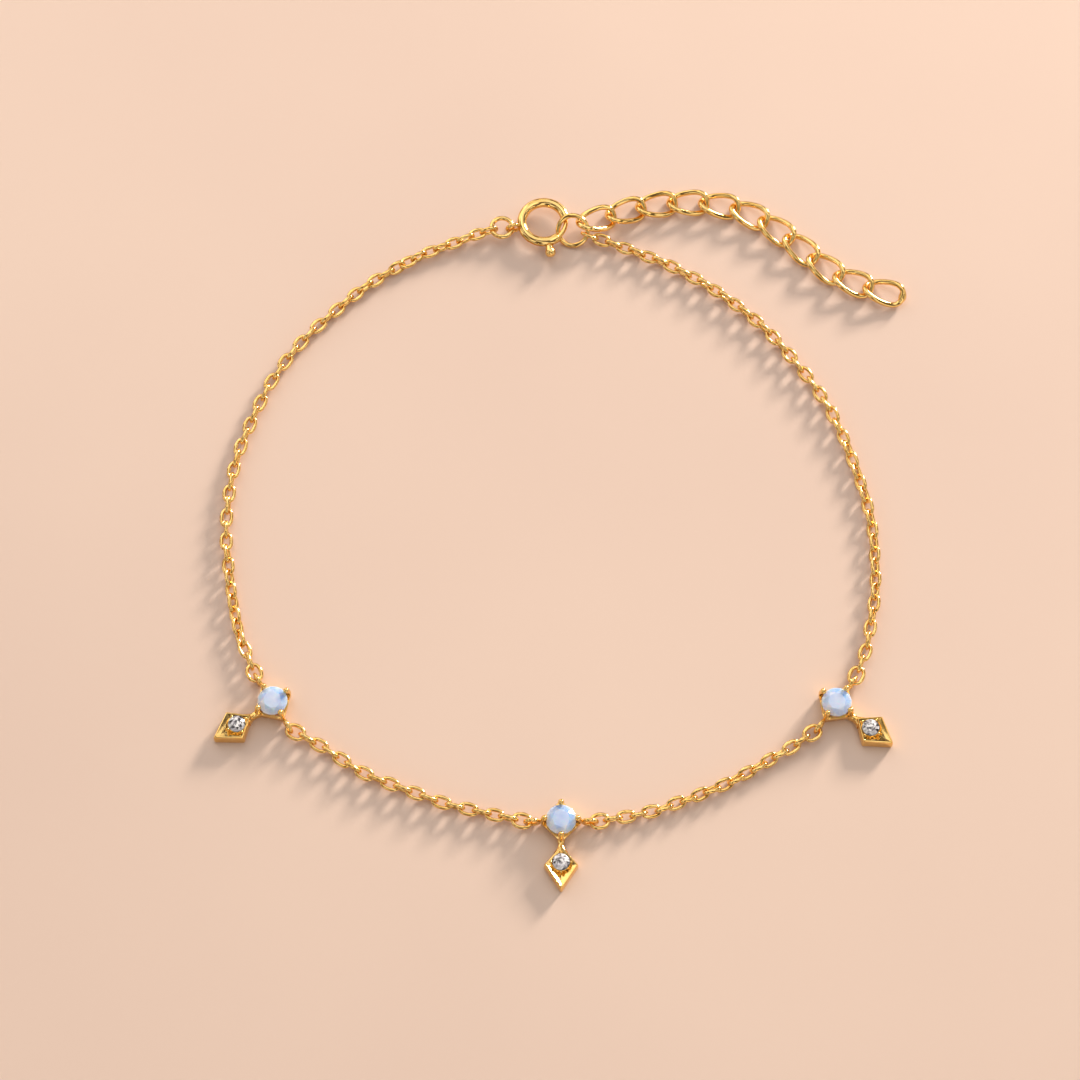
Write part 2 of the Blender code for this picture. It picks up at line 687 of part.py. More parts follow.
def build():
    """Build every piece and put it in the bracelet's collection."""
    clear_scene()
    parts = bpy.data.collections.new("charm_bracelet")
    bpy.context.scene.collection.children.link(parts)
    upright = math.pi / 2
    jump_hold = JUMP_DIAMETER / 2 - JUMP_WIRE - 1.5 * CLEARANCE
    first_point = Vector((LEFT_ROUTE[0][0] * MM, LEFT_ROUTE[0][1] * MM, JUMP_CENTRE.z))
    left_start = JUMP_CENTRE + (first_point - JUMP_CENTRE).normalized() * jump_hold
    end_hold = END_RADIUS - END_WIRE / 2 - 1.5 * CLEARANCE
    right_end = end_ring_frame() @ Vector((end_hold, 0.0, 0.0))
    height = CHAIN_HEIGHT
    items = [(clasp_body(), "gold"), (clasp_trigger(), "gold"), (clasp_jump_ring(), "gold"),
             (end_ring(), "gold")]
    left = full_route(left_start, LEFT_ROUTE, loop_end(0, -1), height)
    items.append((plain_chain("left_chain", left, upright), "gold"))
    lower_left = full_route(loop_end(0, 1), LOWER_LEFT_ROUTE, loop_end(1, -1), height)
    items.append((linked_chain("lower_left_chain", lower_left), "gold"))
    lower_right = full_route(loop_end(1, 1), LOWER_RIGHT_ROUTE, loop_end(2, -1), height)
    items.append((linked_chain("lower_right_chain", lower_right), "gold"))
    right = full_route(right_end, RIGHT_ROUTE[::-1], loop_end(2, 1), height)
    items.append((plain_chain("right_chain", right, upright + END_TILT), "gold"))
    items += [(item, "gold") for item in curb_links()]
    items += place_drops()
    for item, kind in items:
        item.data.materials.clear()
        item.data.materials.append(finish(item.name, kind))
        item.data.shade_smooth()
        item.data.set_sharp_from_angle(angle=SHARP_ANGLE)
        for collection in list(item.users_collection):
            collection.objects.unlink(item)
        parts.objects.link(item)


build()
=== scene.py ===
"""Charm bracelet, dressed as it lies on the table.

It lies flat on a plain pale table at z = 0, with the clasp at +Y and the middle drop at -Y.
The sections follow the bracelet as it is put together: clasp, rings, chains, extender, drops, stones.
Meshes are made in millimetres and brought to metres as each piece is laid down.
"""
import math
import random

import bmesh
import bpy
from mathutils import Matrix, Vector


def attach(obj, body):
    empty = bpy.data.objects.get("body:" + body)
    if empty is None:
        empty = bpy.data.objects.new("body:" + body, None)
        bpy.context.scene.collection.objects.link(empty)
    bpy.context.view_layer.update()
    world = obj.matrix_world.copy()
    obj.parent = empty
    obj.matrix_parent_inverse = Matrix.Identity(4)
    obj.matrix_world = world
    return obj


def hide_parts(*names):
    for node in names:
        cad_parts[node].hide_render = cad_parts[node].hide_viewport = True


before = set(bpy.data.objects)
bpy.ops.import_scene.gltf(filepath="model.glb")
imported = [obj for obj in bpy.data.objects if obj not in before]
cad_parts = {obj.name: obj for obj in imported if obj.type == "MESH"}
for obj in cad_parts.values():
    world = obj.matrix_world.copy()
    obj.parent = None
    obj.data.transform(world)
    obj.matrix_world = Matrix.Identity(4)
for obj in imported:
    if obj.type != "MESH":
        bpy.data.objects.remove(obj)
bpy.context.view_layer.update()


# THE CAMERA
# A long lens held in front of the bracelet and well above it, 68 degrees over the table,
# so that the loop of chain fills the picture and the table's far edge never shows.
MM = 0.001
LENS_LENGTH = 100.0
LENS_FRAME = 36.0
NEAREST_SEEN = 0.01
LOOK_AT = Vector((-2.4, -1.2, 0.0)) * MM
CAMERA_LIFT = math.radians(68.0)
CAMERA_AWAY = 264.8 * MM

camera_lens = bpy.data.cameras.new("camera")
camera_lens.lens = LENS_LENGTH
camera_lens.sensor_width = LENS_FRAME
camera_lens.clip_start = NEAREST_SEEN
camera = bpy.data.objects.new("camera", camera_lens)
bpy.context.scene.collection.objects.link(camera)
camera_side = Vector((0.0, -math.cos(CAMERA_LIFT), math.sin(CAMERA_LIFT)))
camera.location = LOOK_AT + camera_side * CAMERA_AWAY
camera.rotation_euler = (math.pi / 2 - CAMERA_LIFT, 0.0, 0.0)
bpy.context.scene.camera = camera
bpy.context.scene.view_settings.view_transform = "Standard"


# THE TABLE AND THE LIGHT
# A plain honed slab in a warm pale tone. A small warm panel low at the far right throws the soft
# shadows to the near left, two wide ones fill them, and three faint ones gleam in the gold.
TABLE_REACH = 1.5
TABLE_TONE = (0.79, 0.595, 0.475)
TABLE_TONE_DEEPER = (0.75, 0.56, 0.45)
TABLE_ROUGHNESS = 0.5
ROOM_DARK = (0.075, 0.056, 0.042)
ROOM_DIM = (0.15, 0.135, 0.12)
ROOM_BRIGHT = (1.0, 0.98, 0.96)
ROOM_STRENGTH = 1.2


def new_finish(name):
    """Make a material and return it with its nodes, its links and its shader."""
    finish = bpy.data.materials.new(name)
    finish.use_nodes = True
    nodes = finish.node_tree.nodes
    return finish, nodes, finish.node_tree.links, nodes["Principled BSDF"]


def add_clouds(nodes, scale, detail=2.0):
    """Add a pattern of soft clouds."""
    clouds = nodes.new("ShaderNodeTexNoise")
    clouds.inputs["Scale"].default_value = scale
    clouds.inputs["Detail"].default_value = detail
    return clouds


def add_tones(nodes, *stops):
    """Add a blend of tones through stops, each a position and a colour, in order."""
    blend = nodes.new("ShaderNodeValToRGB")
    elements = blend.color_ramp.elements
    for index, (position, colour) in ((0, stops[0]), (1, stops[-1])):
        elements[index].position = position
        elements[index].color = (*colour, 1.0)
    for position, colour in stops[1:-1]:
        elements.new(position).color = (*colour, 1.0)
    return blend


def hang_light(name, direction, away, size, power, colour):
    """Hang a square panel light in a direction from the bracelet, facing it."""
    panel = bpy.data.lights.new(name, "AREA")
    panel.size = size
    panel.energy = power
    panel.color = colour
    lamp = bpy.data.objects.new(name, panel)
    bpy.context.scene.collection.objects.link(lamp)
    lamp.location = Vector(direction).normalized() * away
    lamp.rotation_euler = (-lamp.location).to_track_quat("-Z", "Y").to_euler()


table_mesh = bpy.data.meshes.new("table")
table_mesh.from_pydata(
    [(x * TABLE_REACH, y * TABLE_REACH, 0.0) for x, y in ((-1, -1), (1, -1), (1, 1), (-1, 1))],
    [], [(0, 1, 2, 3)])
table = bpy.data.objects.new("table", table_mesh)
bpy.context.scene.collection.objects.link(table)
table_finish, nodes, links, shader = new_finish("honed_table")
shader.inputs["Roughness"].default_value = TABLE_ROUGHNESS
place = nodes.new("ShaderNodeTexCoord")
clouds = add_clouds(nodes, 14.0, 3.0)
tones = add_tones(nodes, (0.35, TABLE_TONE_DEEPER), (0.65, TABLE_TONE))
links.new(place.outputs["Object"], clouds.inputs["Vector"])
links.new(clouds.outputs["Fac"], tones.inputs["Fac"])
links.new(tones.outputs["Color"], shader.inputs["Base Color"])
table_mesh.materials.append(table_finish)

hang_light("low_warm_light", (0.63, 0.78, 0.33), 0.90, 0.18, 11.0, (1.0, 0.90, 0.81))
hang_light("far_panel", (0.05, 0.45, 1.0), 0.70, 0.66, 1.4, (1.0, 0.98, 0.99))
hang_light("left_far_panel", (-0.60, 0.74, 0.50), 0.70, 0.40, 0.8, (1.0, 0.97, 0.95))
hang_light("right_side_panel", (0.71, 0.08, 0.70), 0.70, 0.16, 0.11, (1.0, 0.96, 0.93))
hang_light("left_side_panel", (-0.71, 0.13, 0.69), 0.70, 0.16, 0.11, (1.0, 0.97, 0.95))
hang_light("back_panel", (0.01, 0.95, 0.31), 0.90, 0.20, 0.16, (1.0, 0.96, 0.92))

room = bpy.data.worlds.new("room")
bpy.context.scene.world = room
room.use_nodes = True
nodes = room.node_tree.nodes
links = room.node_tree.links
place = nodes.new("ShaderNodeTexCoord")
walls = add_clouds(nodes, 2.6, 0.5)
panes = add_tones(nodes, (0.43, ROOM_DARK), (0.53, ROOM_DIM), (0.60, ROOM_BRIGHT))
links.new(place.outputs["Generated"], walls.inputs["Vector"])
links.new(walls.outputs["Fac"], panes.inputs["Fac"])
links.new(panes.outputs["Color"], nodes["Background"].inputs["Color"])
nodes["Background"].inputs["Strength"].default_value = ROOM_STRENGTH


# THE CLASP'S TUBE
# A spring ring: a gold tube bent into a ring with a gap at the right, hollow for the gate wire,
# with a slot on its outside for the knob and a small upright eyelet soldered on at the left.
CLASP_CENTRE = (-2.05, 29.90)
CLASP_DIAMETER = 4.92
CLASP_TUBE = 0.89
CLASP_BORE = 0.54
CLASP_RADIUS = (CLASP_DIAMETER - CLASP_TUBE) / 2
TUBE_STEPS = 96
TUBE_SIDES = 20
LIP_TURNS = (30, 60, 90, 120, 150)
GATE_OPENS = -52.0
GATE_CLOSES = 15.0
KNOB_ANGLE = -79.0
KNOB_TRAVEL = 60.0
KNOB_STEM = 0.32
SLOT_WIDTH = 0.44
SLOT_SPARE = 0.06
SLOT_SIDES = 12
EYELET_ANGLE = 192.0
EYELET_DIAMETER = 1.50
EYELET_WIRE = 0.35
EYELET_SIDES = 14
BORE_CUT_REACH = 25.0
BORE_CUT_EASE = 0.01
BORE_CUT_SIDES = 24
END_ANGLE = -18.0
END_DIAMETER = 3.20
END_WIRE = 0.46
GATE_WIRE = 0.42
GAP = 0.05
END_RADIUS = (END_DIAMETER - END_WIRE) / 2
END_PLACE = CLASP_RADIUS + END_RADIUS - (GATE_WIRE + END_WIRE) / 2 - 3 * GAP
CROSSING = (CLASP_RADIUS ** 2 - END_RADIUS ** 2 + END_PLACE ** 2) / (2 * END_PLACE)
END_TILT = math.atan2(
    (GATE_WIRE + END_WIRE) / 2 + 3 * GAP, math.sqrt(CLASP_RADIUS ** 2 - CROSSING ** 2))
CLASP_HEIGHT = END_RADIUS * math.sin(END_TILT) + END_WIRE / 2
MARKS_PER_CLOUD = 7
MARK_DEPTH = 0.01 * MM
SMOOTH_UNDER = math.radians(38.0)
WELD = 0.0005


def gold_finish(name, pale, deep, rough, grain, scratch):
    """Make polished gold: two close tones in clouds, uneven gloss and fine polishing marks."""
    finish, nodes, links, shader = new_finish(name)
    shader.inputs["Metallic"].default_value = 1.0
    place = nodes.new("ShaderNodeTexCoord")
    clouds = add_clouds(nodes, grain, 4.0)
    tones = add_tones(nodes, (0.30, deep), (0.70, pale))
    gloss = nodes.new("ShaderNodeMapRange")
    gloss.inputs["To Min"].default_value = rough[0]
    gloss.inputs["To Max"].default_value = rough[1]
    marks = add_clouds(nodes, grain * MARKS_PER_CLOUD, 3.0)
    relief = nodes.new("ShaderNodeBump")
    relief.inputs["Strength"].default_value = scratch
    relief.inputs["Distance"].default_value = MARK_DEPTH
    links.new(place.outputs["Object"], clouds.inputs["Vector"])
    links.new(place.outputs["Object"], marks.inputs["Vector"])
    links.new(clouds.outputs["Fac"], tones.inputs["Fac"])
    links.new(tones.outputs["Color"], shader.inputs["Base Color"])
    links.new(marks.outputs["Fac"], gloss.inputs["Value"])
    links.new(gloss.outputs["Result"], shader.inputs["Roughness"])
    links.new(marks.outputs["Fac"], relief.inputs["Height"])
    links.new(relief.outputs["Normal"], shader.inputs["Normal"])
    return finish


def lay_down(name, shape, finish, body, slot, *nodes):
    """Bring a shape in millimetres to metres as one piece that stands for these solids."""
    bmesh.ops.recalc_face_normals(shape, faces=shape.faces)
    bmesh.ops.scale(shape, vec=(MM, MM, MM), verts=shape.verts)
    mesh = bpy.data.meshes.new(name)
    shape.to_mesh(mesh)
    shape.free()
    mesh.materials.append(finish)
    mesh.shade_smooth()
    mesh.set_sharp_from_angle(angle=SMOOTH_UNDER)
    piece = bpy.data.objects.new(name, mesh)
    bpy.context.scene.collection.objects.link(piece)
    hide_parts(*nodes)
    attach(piece, body)
    return piece


def moved(shape, at):
    """Move a shape into a frame and return it."""
    bmesh.ops.transform(shape, matrix=at, verts=shape.verts)
    return shape


def skin(shape, rows, closed):
    """Cover rows of points with faces; closed rows meet round the back, and others are capped."""
    for one, two in zip(rows, rows[1:] + rows[:1] if closed else rows[1:]):
        for j in range(len(one)):
            shape.faces.new((one[j], one[j - 1], two[j - 1], two[j]))
    if not closed:
        shape.faces.new(rows[0])
        shape.faces.new(rows[-1])


def wire(shape, line, radii, sides, closed, middle=None):
    """Draw a round wire along a line, one radius a point, each ring starting away from the middle."""
    middle = middle or sum(line, Vector()) / len(line)
    last = len(line) - 1
    rows = []
    for k, point in enumerate(line):
        ahead = line[(k + 1) % len(line)] if closed or k < last else point
        behind = line[k - 1] if closed or k > 0 else point
        along = (ahead - behind).normalized()
        out = point - middle
        out = (out - along * out.dot(along)).normalized()
        up = along.cross(out)
        row = []
        for j in range(sides):
            angle = 2 * math.pi * j / sides
            away = out * math.cos(angle) + up * math.sin(angle)
            row.append(shape.verts.new(point + away * radii[k]))
        rows.append(row)
    skin(shape, rows, closed)


def drawn(line, radii, sides, closed, middle=None):
    """Return a new shape of one wire drawn along a line."""
    shape = bmesh.new()
    wire(shape, line, radii, sides, closed, middle)
    return shape


def round_ended(line, radius):
    """Return a line and its radii with half-round ends added."""
    first = (line[0] - line[1]).normalized()
    last = (line[-1] - line[-2]).normalized()
    turns = [math.radians(a) for a in (80, 62, 42, 21)]
    start = [(line[0] + first * radius * math.sin(a), radius * math.cos(a)) for a in turns]
    end = [(line[-1] + last * radius * math.sin(a), radius * math.cos(a)) for a in reversed(turns)]
    rows = start + [(point, radius) for point in line] + end
    return [row[0] for row in rows], [row[1] for row in rows]


def arc(radius, start, end, step=3.0):
    """Return points round an arc in the XY plane, from one angle to another in degrees."""
    count = max(2, round(abs(end - start) / step))
    angles = [math.radians(start + (end - start) * k / count) for k in range(count + 1)]
    return [Vector((radius * math.cos(a), radius * math.sin(a), 0.0)) for a in angles]


def upright_loop(at, diameter, thick, sides):
    """Return a closed ring of wire that stands upright in a frame."""
    upright = at @ Matrix.Rotation(math.pi / 2, 4, "X")
    line = [upright @ point for point in arc((diameter - thick) / 2, 0, 350, 10)]
    return drawn(line, [thick / 2] * len(line), sides, True)


def mesh_of(shape):
    """Turn a shape into a loose object, ready to be joined or cut."""
    bmesh.ops.recalc_face_normals(shape, faces=shape.faces)
    mesh = bpy.data.meshes.new("blank")
    shape.to_mesh(mesh)
    shape.free()
    item = bpy.data.objects.new("blank", mesh)
    bpy.context.scene.collection.objects.link(item)
    return item


def worked(base, others, operation):
    """Solder other shapes to the first, or cut them away, and return the result as a shape."""
    blank = mesh_of(base)
    for other in others:
        tool = mesh_of(other)
        step = blank.modifiers.new("step", "BOOLEAN")
        step.operation = operation
        step.solver = "EXACT"
        step.object = tool
        bpy.context.view_layer.update()
        graph = bpy.context.evaluated_depsgraph_get()
        mesh = bpy.data.meshes.new_from_object(blank.evaluated_get(graph))
        blank.modifiers.clear()
        blank.data = mesh
        bpy.data.objects.remove(tool)
    shape = bmesh.new()
    shape.from_mesh(blank.data)
    bpy.data.objects.remove(blank)
    bmesh.ops.remove_doubles(shape, verts=shape.verts, dist=WELD)
    bmesh.ops.dissolve_degenerate(shape, edges=shape.edges, dist=WELD)
    return shape


def hollow_tube():
    """Return the bent tube with its bore, its ends rounded over."""
    tube = CLASP_TUBE / 2
    bore = CLASP_BORE / 2
    first = GATE_CLOSES
    last = 360 + GATE_OPENS
    span = last - first
    lip = (tube - bore) / 2
    turn = math.degrees(lip / CLASP_RADIUS)
    swings = [math.radians(a) for a in LIP_TURNS]
    lips = [(turn * math.sin(swing), bore + lip + lip * math.cos(swing)) for swing in swings]
    rows = [(first + span * k / TUBE_STEPS, tube) for k in range(TUBE_STEPS + 1)]
    rows += [(last + past, radius) for past, radius in lips]
    rows += [(last - span * k / TUBE_STEPS, bore) for k in range(TUBE_STEPS + 1)]
    rows += [(first - past, radius) for past, radius in reversed(lips)]
    shape = bmesh.new()
    rings = []
    for degrees, radius in rows:
        swing = math.radians(degrees)
        out = Vector((math.cos(swing), math.sin(swing), 0.0))
        ring = []
        for j in range(TUBE_SIDES):
            angle = 2 * math.pi * j / TUBE_SIDES
            away = out * (CLASP_RADIUS + radius * math.cos(angle))
            ring.append(shape.verts.new(away + Vector((0.0, 0.0, radius * math.sin(angle)))))
        rings.append(ring)
    skin(shape, rings, True)
    return shape


polished_gold = gold_finish(
    "polished_gold", pale=(1.0, 0.70, 0.27), deep=(0.94, 0.58, 0.17),
    rough=(0.07, 0.15), grain=900.0, scratch=0.2)
clasp_at = Matrix.Translation((*CLASP_CENTRE, CLASP_HEIGHT))
slot_radius = CLASP_RADIUS + (CLASP_TUBE + CLASP_BORE) / 4
slot_room = math.degrees((KNOB_STEM / 2 + SLOT_SPARE) / CLASP_RADIUS)
slot_line, slot_radii = round_ended(
    arc(slot_radius, KNOB_ANGLE + slot_room, KNOB_ANGLE - KNOB_TRAVEL - slot_room), SLOT_WIDTH / 2)
slot_cut = drawn(slot_line, slot_radii, SLOT_SIDES, False, Vector())
eyelet_place = CLASP_DIAMETER / 2 + EYELET_DIAMETER / 2 - EYELET_WIRE
eyelet_at = Matrix.Rotation(math.radians(EYELET_ANGLE), 4, "Z") @ Matrix.Translation((eyelet_place, 0, 0))
eyelet = upright_loop(eyelet_at, EYELET_DIAMETER, EYELET_WIRE, EYELET_SIDES)
bore_line = arc(CLASP_RADIUS, EYELET_ANGLE - BORE_CUT_REACH, EYELET_ANGLE + BORE_CUT_REACH)
bore_radii = [CLASP_BORE / 2 - BORE_CUT_EASE] * len(bore_line)
bore_cut = drawn(bore_line, bore_radii, BORE_CUT_SIDES, False, Vector())
eyelet = worked(eyelet, [bore_cut], "DIFFERENCE")
clasp_shape = worked(worked(hollow_tube(), [slot_cut], "DIFFERENCE"), [eyelet], "UNION")
lay_down("clasp_tube", moved(clasp_shape, clasp_at), polished_gold, "bracelet", "gold", "clasp_body")


# THE GATE AND ITS KNOB
# A sprung gold wire that slides inside the tube and closes the gap at the right. The little
# turned knob that a fingernail pulls is riveted to it through the slot.
GATE_TIP = 23.0
GATE_TAIL = -140.0
GATE_SIDES = 16
KNOB_WIDTH = 0.96
KNOB_REACH = 0.66
KNOB_FOOT = -0.62
KNOB_PROFILE = (
    (-0.61, 0.66), (-0.54, 0.76), (-0.34, 0.80), (-0.10, 0.95), (0.08, 1.0),
    (0.22, 0.95), (0.34, 0.80), (0.42, 0.58), (0.47, 0.30), (0.48, 0.05))
KNOB_SIDES = 20

gate_line, gate_radii = round_ended(arc(CLASP_RADIUS, GATE_TAIL, GATE_TIP), GATE_WIRE / 2)
gate = drawn(gate_line, gate_radii, GATE_SIDES, False, Vector())
knob_away = Vector((math.cos(math.radians(KNOB_ANGLE)), math.sin(math.radians(KNOB_ANGLE)), 0.0))
knob_middle = CLASP_DIAMETER / 2 + KNOB_REACH
knob_rows = [(CLASP_RADIUS, KNOB_STEM / 2), (knob_middle + KNOB_FOOT, KNOB_STEM / 2)]
knob_rows += [(knob_middle + past, KNOB_WIDTH / 2 * share) for past, share in KNOB_PROFILE]
knob = drawn(
    [knob_away * reach for reach, _ in knob_rows], [radius for _, radius in knob_rows],
    KNOB_SIDES, False, Vector((0.0, 0.0, 9.0)))
gate_shape = moved(worked(gate, [knob], "UNION"), clasp_at)
lay_down("clasp_gate", gate_shape, polished_gold, "trigger", "gold", "clasp_trigger")


# THE TWO ROUND RINGS
# Bent from round gold wire and pressed shut, so each has a hair-thin joint. The small one
# lies between the eyelet and the left chain, and the large one tilts over the gate.
JUMP_ANGLE = 187.7
JUMP_DIAMETER = 2.35
JUMP_WIRE = 0.43
JUMP_JOINT = 250
END_JOINT = 285
JOINT_WIDTH = 0.02
JOINT_EASE = (0.90, 0.97)
RING_STEP = 6
RING_SIDES = 16
EYELET_ROOM = (EYELET_DIAMETER / 2 - EYELET_WIRE - JUMP_WIRE / 2 - 2 * GAP) * math.sqrt(0.5)
JUMP_PLACE = eyelet_place + EYELET_ROOM + (JUMP_DIAMETER - JUMP_WIRE) / 2


def by_the_clasp(place, degrees, height):
    """Return a point at a distance and an angle from the clasp's middle."""
    x, y = CLASP_CENTRE
    angle = math.radians(degrees)
    return Vector((x + place * math.cos(angle), y + place * math.sin(angle), height))


def pressed_ring(outer, thick, joint_at):
    """Return a ring of round wire, its two cut ends almost touching."""
    radius = (outer - thick) / 2
    cut = math.degrees(JOINT_WIDTH / 2 / radius)
    line = arc(radius, joint_at + cut, joint_at + 360 - cut, RING_STEP)
    whole = len(line) - 2 * len(JOINT_EASE)
    shares = [*JOINT_EASE, *[1.0] * whole, *reversed(JOINT_EASE)]
    return drawn(line, [thick / 2 * share for share in shares], RING_SIDES, False, Vector())


jump_centre = by_the_clasp(JUMP_PLACE, JUMP_ANGLE, CLASP_HEIGHT - EYELET_ROOM)
jump_shape = moved(pressed_ring(JUMP_DIAMETER, JUMP_WIRE, JUMP_JOINT), Matrix.Translation(jump_centre))
lay_down("jump_ring", jump_shape, polished_gold, "bracelet", "gold", "clasp_jump_ring")

end_ring_at = Matrix.Translation(by_the_clasp(END_PLACE, END_ANGLE, CLASP_HEIGHT))
end_ring_at = end_ring_at @ Matrix.Rotation(math.radians(END_ANGLE), 4, "Z")
end_ring_at = end_ring_at @ Matrix.Rotation(END_TILT, 4, "X")
end_shape = moved(pressed_ring(END_DIAMETER, END_WIRE, END_JOINT), end_ring_at)
lay_down("end_ring_wire", end_shape, polished_gold, "bracelet", "gold", "end_ring")


# THE CABLE CHAIN
# Oval links of fine round wire, each turned a quarter turn from the next and soldered shut at
# one side. Four lengths of it join the clasp, the three drops and the end ring.
LINK_WIRE = 0.33
LINK_WIDTH = 1.20
LINK_PITCH = 1.16
LINK_PLAY = 0.005
LINK_BLUNT = 0.84
LINK_STEPS = 30
LINK_SIDES = 12
LINK_STRAY = 0.05
LINK_SWAY = 0.08
CONNECTOR_WIRE = 0.34
CONNECTOR_WIDTH = 1.50
SEAM_SPREAD = 0.22
SEAM_SWELL = 0.14
CHAIN_HEIGHT = LINK_WIDTH / 2 + 0.03
ROUTE_STEPS = 12
SETTLE_LENGTH = 5.0
SETTLE_RATE = 6
OPAL_DIAMETER = 2.60
PRONG_WIRE = 0.40
PRONG_PLACE = OPAL_DIAMETER / 2 + PRONG_WIRE / 2 + GAP / 2
LOOP_DIAMETER = 1.55
LOOP_WIRE = 0.35
LOOP_HEIGHT = 0.78
LOOP_SUNK = 0.04
LOOP_PLACE = PRONG_PLACE + PRONG_WIRE / 2 + LOOP_DIAMETER / 2 - LOOP_SUNK
LOOP_ROOM = (LOOP_DIAMETER / 2 - LOOP_WIRE - CONNECTOR_WIRE / 2 - 2 * GAP) * math.sqrt(0.5)
DROPS = (
    ("left", -25.38, -16.68, -57.0),
    ("centre", -0.62, -27.28, 0.0),
    ("right", 23.07, -16.81, 53.0))
LEFT_ROUTE = (
    (-8.3, 28.7), (-11.8, 27.3), (-15.0, 25.7), (-18.8, 23.0), (-21.5, 20.5), (-23.8, 18.0),
    (-26.6, 13.9), (-28.5, 9.2), (-29.6, 5.4), (-30.1, 0.8), (-29.9, -2.7), (-29.2, -7.4),
    (-28.3, -11.0))
LOWER_LEFT_ROUTE = ((-21.5, -20.3), (-17.6, -22.8), (-13.1, -24.7), (-8.7, -26.1))
LOWER_RIGHT_ROUTE = ((5.9, -26.6), (9.2, -25.6), (14.3, -23.4), (19.1, -20.6))
RIGHT_ROUTE = (
    (5.6, 27.3), (10.2, 25.2), (14.2, 22.6), (17.7, 19.5), (20.6, 15.9), (23.3, 11.8),
    (25.1, 7.3), (26.4, 2.6), (27.0, -1.0), (27.0, -5.0), (26.5, -9.0), (25.7, -12.3))
LEFT_LEANS = (
    (0.0, 90), (0.15, 94), (0.21, 176), (0.45, 168), (0.62, 180), (0.74, 180), (0.88, 222), (1.0, 270))
LOWER_LEFT_LEANS = ((0.0, 0), (0.25, 14), (0.6, 6), (1.0, 0))
LOWER_RIGHT_LEANS = ((0.0, 0), (0.3, 30), (0.7, 36), (1.0, 0))
RIGHT_LEANS = (
    (0.0, 90 + math.degrees(END_TILT)), (0.06, 96), (0.3, 92), (0.5, 116), (0.6, 134), (0.8, 130),
    (1.0, 90))


def drop_frame(drop):
    """Return a drop's frame on the table: opal at the middle, drop along -Y."""
    _, x, y, turn = drop
    return Matrix.Translation((x, y, 0.0)) @ Matrix.Rotation(math.radians(turn), 4, "Z")


def loop_end(index, side):
    """Return where the chain hangs in a drop's loop, at -1 or 1 along the drop's X."""
    reach = LOOP_PLACE + LOOP_ROOM + CONNECTOR_WIRE / 2
    return drop_frame(DROPS[index]) @ Vector((side * reach, 0.0, LOOP_HEIGHT - LOOP_ROOM))


def route_length(route):
    """Return the length of a route."""
    return sum((b - a).length for a, b in zip(route, route[1:]))


def laid_route(start, chosen, end, height):
    """Return short steps along a chain's line, from a raised start through points to a raised end."""
    flat = [start.xy, *(Vector(point) for point in chosen), end.xy]
    points = [point.to_3d() for point in flat]
    ends = [points[0] * 2 - points[1], *points, points[-1] * 2 - points[-2]]
    route = []
    for before, a, b, after in zip(ends, ends[1:], ends[2:], ends[3:]):
        for k in range(ROUTE_STEPS):
            t = k / ROUTE_STEPS
            route.append(0.5 * (2 * a + (b - before) * t + (2 * before - 5 * a + 4 * b - after) * t * t
                                + (3 * a - before - 3 * b + after) * t ** 3))
    route.append(points[-1])
    total = route_length(route)
    gone = 0.0
    earlier = route[0].copy()
    for point in route:
        gone += (point.xy - earlier.xy).length
        earlier = point.copy()
        rise = (start.z - height) * max(0.0, 1 - gone / SETTLE_LENGTH) ** 2
        rise += (end.z - height) * max(0.0, 1 - (total - gone) / SETTLE_LENGTH) ** 2
        point.z = height + rise
    return route


def spread_along(route, count):
    """Return count + 1 points at even distances along a route."""
    total = route_length(route)
    points = []
    for k in range(count + 1):
        left = total * k / count
        for a, b in zip(route, route[1:]):
            step = (b - a).length
            if left <= step or b is route[-1]:
                points.append(a.lerp(b, min(1.0, left / step)))
                break
            left -= step
    return points


def link_frame(start, end, roll):
    """Return the frame of a link between two points, rolled about its length."""
    along = (end - start).normalized()
    side = Vector((0, 0, 1)).cross(along).normalized()
    turn = Matrix((along, side, along.cross(side))).transposed().to_4x4()
    return Matrix.Translation((start + end) / 2) @ turn @ Matrix.Rotation(roll, 4, "X")


def oval_point(angle, blunt):
    """Return a point of a unit oval at an angle: round where blunt is 1, and fuller below that."""
    across = math.cos(angle)
    up = math.sin(angle)
    return math.copysign(abs(across) ** blunt, across), math.copysign(abs(up) ** blunt, up)


def soldered_link(shape, start, end, width, thick, roll):
    """Add one oval link that holds its neighbours at start and end, with its solder seam."""
    length = (end - start).length + 2 * thick + LINK_PLAY
    bow = (width - thick) / 2
    reach = (length - thick) / 2
    place = link_frame(start, end, roll)
    line = []
    radii = []
    for k in range(LINK_STEPS):
        angle = 2 * math.pi * (k + 0.5) / LINK_STEPS
        across, up = oval_point(angle, LINK_BLUNT)
        line.append(place @ Vector((across * reach, up * bow, 0.0)))
        seam = math.exp(-((angle - math.pi / 2) / SEAM_SPREAD) ** 2)
        radii.append(thick / 2 * (1 + SEAM_SWELL * seam))
    wire(shape, line, radii, LINK_SIDES, True)


